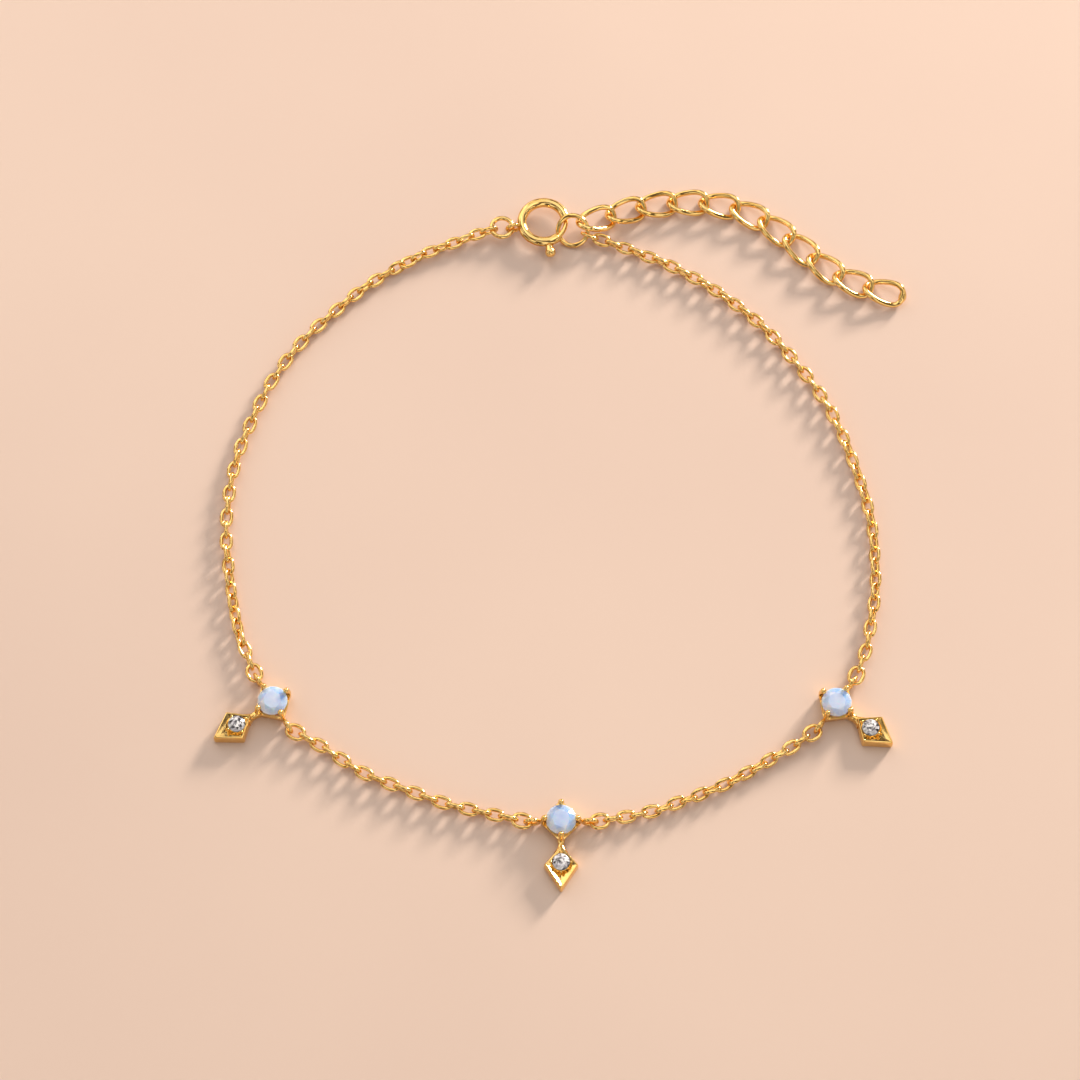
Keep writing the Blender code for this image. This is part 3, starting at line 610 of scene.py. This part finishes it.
def lay_chain(name, route_ends, chosen, odd, leans, connectors, finish):
    """Lay one length of chain; leans are the links' turns about its line at shares of its length."""
    start, end = route_ends
    route = laid_route(start, chosen, end, CHAIN_HEIGHT)
    length = route_length(route)
    if odd:
        count = 2 * round((length / LINK_PITCH - 1) / 2) + 1
    else:
        count = 2 * round(length / LINK_PITCH / 2)
    joints = spread_along(route, count)
    luck = random.Random(name)
    bow = (LINK_WIDTH - LINK_WIRE) / 2

    def lean_at(share):
        for (before, one), (after, two) in zip(leans, leans[1:]):
            if share <= after:
                part = (share - before) / (after - before)
                return math.radians(one + (two - one) * part * part * (3 - 2 * part))
        return math.radians(leans[-1][1])

    for k, joint in enumerate(joints):
        lean = lean_at(k / count)
        ease = min(1.0, SETTLE_RATE * k / count, SETTLE_RATE * (1 - k / count))
        joint.z -= bow * (1 - max(abs(math.sin(lean)), abs(math.cos(lean)))) * ease
        if 1 < k < count - 1:
            joint.x += luck.uniform(-LINK_STRAY, LINK_STRAY)
            joint.y += luck.uniform(-LINK_STRAY, LINK_STRAY)
    wide = [c % count for c in connectors]
    shape = bmesh.new()
    for k in range(count):
        roll = lean_at((k + 0.5) / count) + math.pi / 2 * (k % 2)
        if 1 < k < count - 2:
            roll += luck.uniform(-LINK_SWAY, LINK_SWAY)
        width, thick = (CONNECTOR_WIDTH, CONNECTOR_WIRE) if k in wide else (LINK_WIDTH, LINK_WIRE)
        soldered_link(shape, joints[k], joints[k + 1], width, thick, roll)
    lay_down(name + "_links", shape, finish, "bracelet", "gold", name)


drawn_gold = gold_finish(
    "drawn_gold", pale=(1.0, 0.69, 0.26), deep=(0.93, 0.56, 0.15),
    rough=(0.08, 0.17), grain=1400.0, scratch=0.25)
jump_hold = JUMP_DIAMETER / 2 - JUMP_WIRE - 1.5 * GAP
first_point = Vector((*LEFT_ROUTE[0], jump_centre.z))
left_start = jump_centre + (first_point - jump_centre).normalized() * jump_hold
right_start = end_ring_at @ Vector((END_RADIUS - END_WIRE / 2 - 1.5 * GAP, 0.0, 0.0))
lay_chain(
    "left_chain", (left_start, loop_end(0, -1)), LEFT_ROUTE, False, LEFT_LEANS, (-1,), drawn_gold)
lay_chain(
    "lower_left_chain", (loop_end(0, 1), loop_end(1, -1)), LOWER_LEFT_ROUTE, True,
    LOWER_LEFT_LEANS, (0, -1), drawn_gold)
lay_chain(
    "lower_right_chain", (loop_end(1, 1), loop_end(2, -1)), LOWER_RIGHT_ROUTE, True,
    LOWER_RIGHT_LEANS, (0, -1), drawn_gold)
lay_chain(
    "right_chain", (right_start, loop_end(2, 1)), RIGHT_ROUTE, False, RIGHT_LEANS, (-1,), drawn_gold)


# THE EXTENDER
# Eleven larger curb links, each wire loop twisted so that the row lies flat, and lightly filed
# on its high spots. It hangs from the end ring, takes the clasp, and ends in a blob of solder.
CURB_LINKS = 11
CURB_WIRE = 0.51
CURB_WIDTH = 2.62
CURB_PITCH = 2.95
CURB_TWIST = math.radians(33.0)
CURB_STEPS = 48
CURB_SIDES = 14
CURB_HEIGHT = 0.70
CURB_BLUNT = 0.74
CURB_FILED = 0.035
CURB_SEAM_SPREAD = 0.12
CURB_SEAM_SWELL = 0.10
BLOB_SPREAD = 0.2
BLOB_SWELL = 0.45
EXTENDER_ANGLE = math.radians(50.0)
EXTENDER_ROUTE = (
    (5.3, 31.1), (8.0, 31.8), (10.9, 32.1), (13.8, 31.9), (16.7, 31.1),
    (19.2, 29.4), (21.5, 27.4), (23.6, 25.3), (26.0, 23.8), (28.9, 22.9))


def curb_link(start, end, blob_swell):
    """Return one twisted link between two points, its end swollen by a blob of solder or by none."""
    length = (end - start).length + 2 * CURB_WIRE + GAP
    reach = (length - CURB_WIRE) / 2
    bow = (CURB_WIDTH - CURB_WIRE) / 2
    line = []
    radii = []
    for j in range(CURB_STEPS):
        angle = 2 * math.pi * (j + 0.5) / CURB_STEPS
        across, up = oval_point(angle, CURB_BLUNT)
        x = across * reach
        line.append(Matrix.Rotation(CURB_TWIST * x / reach, 3, "X") @ Vector((x, up * bow, 0.0)))
        seam = math.exp(-((angle - math.pi) / CURB_SEAM_SPREAD) ** 2)
        blob = math.exp(-(min(angle, 2 * math.pi - angle) / BLOB_SPREAD) ** 2)
        radii.append(CURB_WIRE / 2 * (1 + CURB_SEAM_SWELL * seam + blob_swell * blob))
    link = drawn(line, radii, CURB_SIDES, True)
    top = max(vertex.co.z for vertex in link.verts) - CURB_FILED
    for vertex in link.verts:
        vertex.co.z = max(-top, min(top, vertex.co.z))
    return moved(link, link_frame(start, end, 0.0))


hold = END_RADIUS - END_WIRE / 2 - GAP
extender_start = Vector((hold * math.cos(EXTENDER_ANGLE), hold * math.sin(EXTENDER_ANGLE), 0.0))
extender_start = end_ring_at @ extender_start
last_point, before_last = (Vector((x, y, CURB_HEIGHT)) for x, y in EXTENDER_ROUTE[:-3:-1])
extender_end = last_point + (last_point - before_last).normalized() * CURB_PITCH / 2
extender_route = laid_route(extender_start, EXTENDER_ROUTE, extender_end, CURB_HEIGHT)
extender_joints = spread_along(extender_route, CURB_LINKS)
extender = bmesh.new()
for k in range(CURB_LINKS):
    blob_swell = BLOB_SWELL if k == CURB_LINKS - 1 else 0.0
    link = curb_link(extender_joints[k], extender_joints[k + 1], blob_swell)
    loose = bpy.data.meshes.new("curb_link")
    link.to_mesh(loose)
    link.free()
    extender.from_mesh(loose)
curb_gold = gold_finish(
    "curb_gold", pale=(1.0, 0.70, 0.27), deep=(0.93, 0.57, 0.16),
    rough=(0.08, 0.17), grain=700.0, scratch=0.25)
lay_down("extender_links", extender, curb_gold, "bracelet", "gold",
         *("extender_link_%02d" % (k + 1) for k in range(CURB_LINKS)))


# THE THREE CASTINGS
# Each drop is one gold casting: a square basket with four prongs for the opal, a loop at each
# side for the chain, a short neck, and a kite whose sunk faces run down to the small crystal.
OPAL_GIRDLE = 1.50
PRONG_TIP = 0.54
PRONG_RISE = 0.38
PRONG_LEAN = 0.10
PRONG_BULGE = 0.06
PRONG_SIDES = 14
PRONG_TIP_TURNS = (-30, -12, 8, 30, 52, 70, 84)
BASKET_WIDTH = 2.66
BASKET_FLARE = 0.12
BASKET_WALL = 0.30
BASKET_HEIGHT = 1.02
BASKET_CORNER = 0.26
BASKET_CORNER_LEAST = 0.06
LOOP_SIDES = 12
NECK_SECTIONS = (
    (-1.30, 0.40, 0.98), (-1.60, 0.31, 0.92), (-1.85, 0.27, 0.90), (-2.05, 0.27, 0.92),
    (-2.25, 0.33, 0.98), (-2.45, 0.45, 1.04), (-2.62, 0.58, 1.06))
NECK_SIDES = 16
NECK_BLUNT = 0.6
KITE_TOP = 2.06
KITE_WIDEST = 3.82
KITE_TIP = 6.08
KITE_WIDTH = 3.02
KITE_HEIGHT = 1.15
KITE_RIM = 0.17
KITE_CORNER = 0.16
KITE_RIM_CORNER = 0.06
KITE_SUNK_CORNER = 0.03
KITE_SLOPE = math.radians(22.5)
KITE_WALL = (
    (0.07, 0.0), (0.01, 0.07), (0.0, 0.35), (0.02, 0.75), (0.05, KITE_HEIGHT - 0.15),
    (0.08, KITE_HEIGHT - 0.05), (0.13, KITE_HEIGHT))
KITE_SINK = ((0.05, 0.08), (0.20, 0.30), (0.40, 0.56), (0.62, 0.79), (0.97, 1.0))
CRYSTAL_PLACE = 3.60
CRYSTAL_DIAMETER = 1.47
CRYSTAL_GIRDLE = 1.12
COLLAR_SIDES = 32
BEAD_DIAMETER = 0.26
BEAD_FOOT = 0.5
BEAD_SUNK = 0.06
BEAD_SIDES = 14
BEAD_TURNS = (12, 35, 58, 80)


def outline(corners, radius, steps=4):
    """Return a closed outline with each of its corners rounded."""
    points = []
    for k, corner in enumerate(corners):
        here = Vector(corner)
        back = (Vector(corners[k - 1]) - here).normalized()
        on = (Vector(corners[(k + 1) % len(corners)]) - here).normalized()
        half = back.angle(on) / 2
        tangent = radius / math.tan(half)
        middle = here + (back + on).normalized() * (radius / math.sin(half))
        first = here + back * tangent - middle
        last = here + on * tangent - middle
        for j in range(steps + 1):
            points.append(middle + first.slerp(last, j / steps).normalized() * radius)
    return points


def loft(levels, ring=False):
    """Return a shape through outlines at their heights; a ring closes on itself, else it is capped."""
    shape = bmesh.new()
    skin(shape, [[shape.verts.new((p.x, p.y, z)) for p in points] for points, z in levels], ring)
    return shape


def basket():
    """Return the square wall under the opal, wider at its top than at its foot."""
    def square(inset):
        corner = BASKET_WIDTH / math.sqrt(2) - inset * math.sqrt(2)
        corners = ((corner, 0), (0, corner), (-corner, 0), (0, -corner))
        return outline(corners, max(BASKET_CORNER_LEAST, BASKET_CORNER - inset * 0.5))
    foot = BASKET_FLARE
    wall = BASKET_WALL
    rows = (
        (foot + 0.04, 0.0), (foot, 0.05), (0.0, BASKET_HEIGHT - 0.05), (0.03, BASKET_HEIGHT),
        (wall - 0.03, BASKET_HEIGHT), (wall, BASKET_HEIGHT - 0.04), (foot + wall, 0.04),
        (foot + wall - 0.03, 0.0))
    return loft([(square(inset), height) for inset, height in rows], ring=True)


def prong(turn):
    """Return one prong, which leans in from the basket's corner and ends in a polished bead."""
    rise = OPAL_GIRDLE + PRONG_RISE
    out = PRONG_PLACE + PRONG_BULGE
    over = PRONG_PLACE - PRONG_LEAN
    stem = (
        (out - 0.04, 0.2), (out, 0.7), (out + 0.02, 1.1), (out, 1.35),
        (over + 0.04, rise - 0.20), (over + 0.01, rise - 0.13))
    line = [Vector((reach, 0, height)) for reach, height in stem]
    radii = [PRONG_WIRE / 2] * len(stem)
    tip = PRONG_TIP / 2
    for a in PRONG_TIP_TURNS:
        angle = math.radians(a)
        line.append(Vector((over, 0, rise + tip * math.sin(angle))))
        radii.append(tip * math.cos(angle))
    line = [Matrix.Rotation(turn, 3, "Z") @ point for point in line]
    return drawn(line, radii, PRONG_SIDES, False, Vector((0, 0, 1)))


def neck():
    """Return the neck from the basket's corner, waisted, then flared into the kite's shoulders."""
    shape = bmesh.new()
    rows = []
    for y, half, top in NECK_SECTIONS:
        row = []
        for j in range(NECK_SIDES):
            across, up = oval_point(2 * math.pi * (j + 0.5) / NECK_SIDES, NECK_BLUNT)
            row.append(shape.verts.new((across * half, y, up * top / 2 + top / 2)))
        rows.append(row)
    skin(shape, rows, False)
    return shape


def kite():
    """Return the kite: a low block whose top slopes in from a narrow rim to one lowest point."""
    half = KITE_WIDTH / 2
    corners = [Vector(point) for point in (
        (0, -KITE_TOP), (-half, -KITE_WIDEST), (0, -KITE_TIP), (half, -KITE_WIDEST))]
    upper = Vector((half, KITE_WIDEST - KITE_TOP)).normalized()
    lower = Vector((half, KITE_TIP - KITE_WIDEST)).normalized()
    middle_y = (KITE_TOP * upper.x + KITE_TIP * lower.x) / (upper.x + lower.x)
    inner = (KITE_TIP - middle_y) * lower.x
    middle = Vector((0, -middle_y))

    def drawn_in(distance, corner=KITE_CORNER):
        share = 1 - distance / inner
        return outline([middle + (p - middle) * share for p in corners], corner * share, 6)
    width = inner - KITE_RIM
    depth = width * math.tan(KITE_SLOPE)
    levels = [(drawn_in(inset), height) for inset, height in KITE_WALL]
    levels.append((drawn_in(KITE_RIM, KITE_RIM_CORNER), KITE_HEIGHT))
    for share, down in KITE_SINK:
        levels.append((drawn_in(KITE_RIM + width * share, KITE_SUNK_CORNER), KITE_HEIGHT - depth * down))
    return loft(levels)


def collar():
    """Return the round seat that the crystal sits in."""
    def circle(radius):
        angles = [2 * math.pi * k / COLLAR_SIDES for k in range(COLLAR_SIDES)]
        return [Vector((radius * math.cos(a), radius * math.sin(a) - CRYSTAL_PLACE)) for a in angles]
    bore = CRYSTAL_DIAMETER / 2 + 0.01
    rows = (
        (0.10, 0.35), (0.07, CRYSTAL_GIRDLE - 0.04), (0.04, CRYSTAL_GIRDLE),
        (0.01, CRYSTAL_GIRDLE - 0.01), (0.0, CRYSTAL_GIRDLE - 0.08), (-0.35, 0.42))
    return loft([(circle(bore + past), height) for past, height in rows], ring=True)


def bead(turn):
    """Return one of the four beads raised over the crystal's edge."""
    place = CRYSTAL_DIAMETER / 2 + BEAD_DIAMETER / 2 - 0.01
    radius = BEAD_DIAMETER / 2
    top = KITE_HEIGHT - BEAD_SUNK
    at = Matrix.Translation((0, -CRYSTAL_PLACE, 0)) @ Matrix.Rotation(turn, 4, "Z")
    line = [Vector((place, 0, BEAD_FOOT)), Vector((place, 0, top - 0.06))]
    radii = [radius * 0.9, radius]
    for a in BEAD_TURNS:
        angle = math.radians(a)
        line.append(Vector((place, 0, top + radius * math.sin(angle) - 0.02)))
        radii.append(radius * math.cos(angle))
    return drawn([at @ point for point in line], radii, BEAD_SIDES, False, Vector((9, 9, 0)))


def side_loop(side):
    """Return one upright loop of wire for the chain."""
    at = Matrix.Translation((side * LOOP_PLACE, 0, LOOP_HEIGHT))
    return upright_loop(at, LOOP_DIAMETER, LOOP_WIRE, LOOP_SIDES)


cast_gold = gold_finish(
    "cast_gold", pale=(1.0, 0.69, 0.26), deep=(0.93, 0.56, 0.15),
    rough=(0.07, 0.15), grain=800.0, scratch=0.25)
casting = worked(kite(), [neck(), basket(), collar()], "UNION")
casting = worked(casting, [bead(math.pi / 2 * k) for k in range(4)], "UNION")
casting = worked(casting, [prong(math.pi / 2 * k) for k in range(4)], "UNION")
casting = worked(casting, [side_loop(-1), side_loop(1)], "UNION")
for drop in DROPS:
    copy = moved(casting.copy(), drop_frame(drop))
    lay_down(drop[0] + "_casting", copy, cast_gold, "bracelet", "gold", drop[0] + "_setting")
casting.free()


# THE OPALS
# Round faceted opals, milky and pale blue, with a flat table and small flecks of lilac and green
# that lie inside the stone. The prongs hold each one by its thin girdle.
OPAL_CROWN = 0.34
OPAL_PAVILION = 1.10
OPAL_TABLE = 0.58
OPAL_BLUE = (0.60, 0.69, 0.86)
OPAL_MILK = (0.90, 0.89, 0.92)
GREEN_FLECK = (0.60, 0.94, 0.84)
BLUE_FLECK = (0.66, 0.84, 0.97)
LILAC_FLECK = (0.95, 0.76, 0.90)
# Painted shade and highlight: each opal facet is tinted deeper blue or paler at random by which way it
# faces.
PAINTED_DEEP_FACET = (0.68, 0.78, 0.95)
PAINTED_PALE_FACET = (0.97, 0.96, 0.97)
# Painted glow: facets facing away from the low warm light are painted paler and warmer, and facets facing
# it bluer and darker, as if light shone through the stone.
PAINTED_GLOW_FROM_LIGHT = (1.0, 1.0, 0.98)
PAINTED_GLOW_BETWEEN = (0.93, 0.97, 1.0)
PAINTED_GLOW_TO_LIGHT = (0.60, 0.78, 0.95)
TO_LIGHT = (0.63, 0.78, 0.0)
STAR_HEIGHT = 0.63
GIRDLE_SHARE = 0.018
PAVILION_REACH = 0.28
PAVILION_DEPTH = 0.755
CULET_SHARE = 0.015
FLAT_WITHIN = math.radians(1.0)
FACET_EDGE = math.radians(4.0)


def cut_stone(diameter, crown, pavilion, table_share):
    """Return a round stone with a table, star, kite, girdle and pavilion facets."""
    radius = diameter / 2
    girdle = diameter * GIRDLE_SHARE
    rows = (
        (radius * table_share, crown, 8, 0.0),
        (radius * (1 + table_share) / 2, crown * STAR_HEIGHT, 8, 0.5),
        (radius, girdle, 16, 0.0),
        (radius, -girdle, 16, 0.0),
        (radius * PAVILION_REACH, -pavilion * PAVILION_DEPTH, 8, 0.5),
        (radius * CULET_SHARE, -pavilion, 8, 0.0),
    )
    shape = bmesh.new()
    for reach, height, count, shift in rows:
        for k in range(count):
            angle = 2 * math.pi * (k + shift) / count
            shape.verts.new((reach * math.cos(angle), reach * math.sin(angle), height))
    hull = bmesh.ops.convex_hull(shape, input=shape.verts)
    inside = [item for item in hull["geom_interior"] if isinstance(item, bmesh.types.BMVert)]
    bmesh.ops.delete(shape, geom=inside, context="VERTS")
    bmesh.ops.dissolve_limit(shape, angle_limit=FLAT_WITHIN, verts=shape.verts, edges=shape.edges)
    return shape


def multiplied(nodes, links, colour, tint):
    """Multiply one colour by another and return the result."""
    blend = nodes.new("ShaderNodeMix")
    blend.data_type = "RGBA"
    blend.blend_type = "MULTIPLY"
    blend.inputs["Factor"].default_value = 1.0
    links.new(colour, blend.inputs["A"])
    links.new(tint, blend.inputs["B"])
    return blend.outputs["Result"]


def flecked_milk(nodes, links):
    """Return the opal's own colour: clouds of pale blue and milk with flecks of lilac and green."""
    place = nodes.new("ShaderNodeTexCoord")
    clouds = add_clouds(nodes, 900.0, 3.0)
    milk = add_tones(nodes, (0.32, OPAL_BLUE), (0.68, OPAL_MILK))
    flecks = nodes.new("ShaderNodeTexVoronoi")
    flecks.inputs["Scale"].default_value = 2600.0
    split = nodes.new("ShaderNodeSeparateColor")
    hues = add_tones(nodes, (0.0, GREEN_FLECK), (0.5, BLUE_FLECK), (1.0, LILAC_FLECK))
    spots = add_clouds(nodes, 1500.0)
    amount = nodes.new("ShaderNodeMapRange")
    amount.inputs["From Min"].default_value = 0.45
    amount.inputs["From Max"].default_value = 0.75
    amount.inputs["To Max"].default_value = 0.55
    blend = nodes.new("ShaderNodeMix")
    blend.data_type = "RGBA"
    for pattern in (clouds, flecks, spots):
        links.new(place.outputs["Object"], pattern.inputs["Vector"])
    links.new(clouds.outputs["Fac"], milk.inputs["Fac"])
    links.new(flecks.outputs["Color"], split.inputs["Color"])
    links.new(split.outputs["Red"], hues.inputs["Fac"])
    links.new(spots.outputs["Fac"], amount.inputs["Value"])
    links.new(amount.outputs["Result"], blend.inputs["Factor"])
    links.new(milk.outputs["Color"], blend.inputs["A"])
    links.new(hues.outputs["Color"], blend.inputs["B"])
    return blend.outputs["Result"]


def opal_finish():
    """Make the opal: flecked milk, a painted shade for each facet, a painted glow away from the light, a
    wet polish.
    """
    finish, nodes, links, shader = new_finish("milky_opal")
    shader.inputs["Roughness"].default_value = 0.07
    shader.inputs["IOR"].default_value = 1.46
    shader.inputs["Subsurface Weight"].default_value = 1.0
    shader.inputs["Subsurface Radius"].default_value = (1.0, 0.78, 0.60)
    shader.inputs["Subsurface Scale"].default_value = 1.1 * MM
    # Painted facet shade from each facet's facing, and a painted glow on the side away from the light,
    # both multiplied into the stone's own colour.
    facing = nodes.new("ShaderNodeNewGeometry")
    by_facet = add_clouds(nodes, 4.5, 1.0)
    shade = add_tones(nodes, (0.38, PAINTED_DEEP_FACET), (0.60, PAINTED_PALE_FACET))
    toward = nodes.new("ShaderNodeVectorMath")
    toward.operation = "DOT_PRODUCT"
    toward.inputs[1].default_value = TO_LIGHT
    side = nodes.new("ShaderNodeMapRange")
    side.inputs["From Min"].default_value = -0.35
    side.inputs["From Max"].default_value = 0.35
    painted_glow = add_tones(nodes, (0.0, PAINTED_GLOW_FROM_LIGHT), (0.5, PAINTED_GLOW_BETWEEN), (1.0, PAINTED_GLOW_TO_LIGHT))
    links.new(facing.outputs["True Normal"], by_facet.inputs["Vector"])
    links.new(by_facet.outputs["Fac"], shade.inputs["Fac"])
    links.new(facing.outputs["True Normal"], toward.inputs[0])
    links.new(toward.outputs["Value"], side.inputs["Value"])
    links.new(side.outputs["Result"], painted_glow.inputs["Fac"])
    faceted = multiplied(nodes, links, flecked_milk(nodes, links), shade.outputs["Color"])
    lit = multiplied(nodes, links, faceted, painted_glow.outputs["Color"])
    links.new(lit, shader.inputs["Base Color"])
    return finish


milky_opal = opal_finish()
for drop in DROPS:
    stone_at = drop_frame(drop) @ Matrix.Translation((0, 0, OPAL_GIRDLE))
    stone = moved(cut_stone(OPAL_DIAMETER, OPAL_CROWN, OPAL_PAVILION, OPAL_TABLE), stone_at)
    opal = lay_down(drop[0] + "_opal_stone", stone, milky_opal, "bracelet", "opal", drop[0] + "_opal")
    opal.data.set_sharp_from_angle(angle=FACET_EDGE)


# THE CRYSTALS
# Small clear round brilliants, colourless and very bright, sunk in the kites' round seats.
# Their facets carry painted reflections in four tones from dark to white, with a painted star in the
# middle of the table.
CRYSTAL_CROWN = 0.22
CRYSTAL_PAVILION = 0.62
CRYSTAL_TABLE = 0.56
CRYSTAL_CLOUD = 0.62
STAR_INSET = 0.17
# Painted reflections: which painted tone, dark to white, each facet, star face and table ring face gets.
PAINTED_FACET_REFLECTIONS = (0, 1, 2, 2, 3, 3)
PAINTED_STAR_REFLECTIONS = (0, 3, 1, 3)
PAINTED_RING_REFLECTIONS = (0, 1, 2, 3)


def painted_reflection_finish(name, tone):
    """Make one of the painted reflection tones for a brilliant's facets: clear polish over faint clouds.
    """
    finish, nodes, links, shader = new_finish(name)
    shader.inputs["Roughness"].default_value = 0.04
    shader.inputs["IOR"].default_value = 1.9
    place = nodes.new("ShaderNodeTexCoord")
    clouds = add_clouds(nodes, 5200.0)
    tones = add_tones(nodes, (0.35, [v * CRYSTAL_CLOUD for v in tone]), (0.62, tone))
    links.new(place.outputs["Object"], clouds.inputs["Vector"])
    links.new(clouds.outputs["Fac"], tones.inputs["Fac"])
    links.new(tones.outputs["Color"], shader.inputs["Base Color"])
    return finish


def cut_painted_reflections(shape, luck):
    """Split the table into a star, as if the pavilion showed through it, and give each facet one of four
    painted reflection tones.
    """
    table_face = max(shape.faces, key=lambda face: face.normal.z * face.calc_area())
    ring = bmesh.ops.inset_individual(shape, faces=[table_face], thickness=STAR_INSET)["faces"]
    star = bmesh.ops.poke(shape, faces=[table_face])["faces"]
    split = bmesh.ops.triangulate(shape, faces=ring)["faces"]
    for face in shape.faces:
        face.material_index = luck.choice(PAINTED_FACET_REFLECTIONS)
    for k, face in enumerate(star):
        face.material_index = PAINTED_STAR_REFLECTIONS[k % len(PAINTED_STAR_REFLECTIONS)]
    for face in split:
        face.material_index = luck.choice(PAINTED_RING_REFLECTIONS)


# Four lit and shaded copies of one clear polish: the crystal's painted reflections, dark, grey, pale and
# white.
CRYSTAL_PAINTED_REFLECTIONS = (
    painted_reflection_finish("crystal_painted_dark", (0.05, 0.045, 0.05)),
    painted_reflection_finish("crystal_painted_grey", (0.27, 0.25, 0.26)),
    painted_reflection_finish("crystal_painted_pale", (0.70, 0.67, 0.70)),
    painted_reflection_finish("crystal_painted_white", (1.0, 0.98, 0.96)))
for drop in DROPS:
    stone = cut_stone(CRYSTAL_DIAMETER, CRYSTAL_CROWN, CRYSTAL_PAVILION, CRYSTAL_TABLE)
    cut_painted_reflections(stone, random.Random(drop[0]))
    stone = moved(stone, drop_frame(drop) @ Matrix.Translation((0, -CRYSTAL_PLACE, CRYSTAL_GIRDLE)))
    crystal = lay_down(
        drop[0] + "_crystal_stone", stone, CRYSTAL_PAINTED_REFLECTIONS[0], "bracelet", "crystal", drop[0] + "_crystal")
    for tone in CRYSTAL_PAINTED_REFLECTIONS[1:]:
        crystal.data.materials.append(tone)
    crystal.data.set_sharp_from_angle(angle=FACET_EDGE)
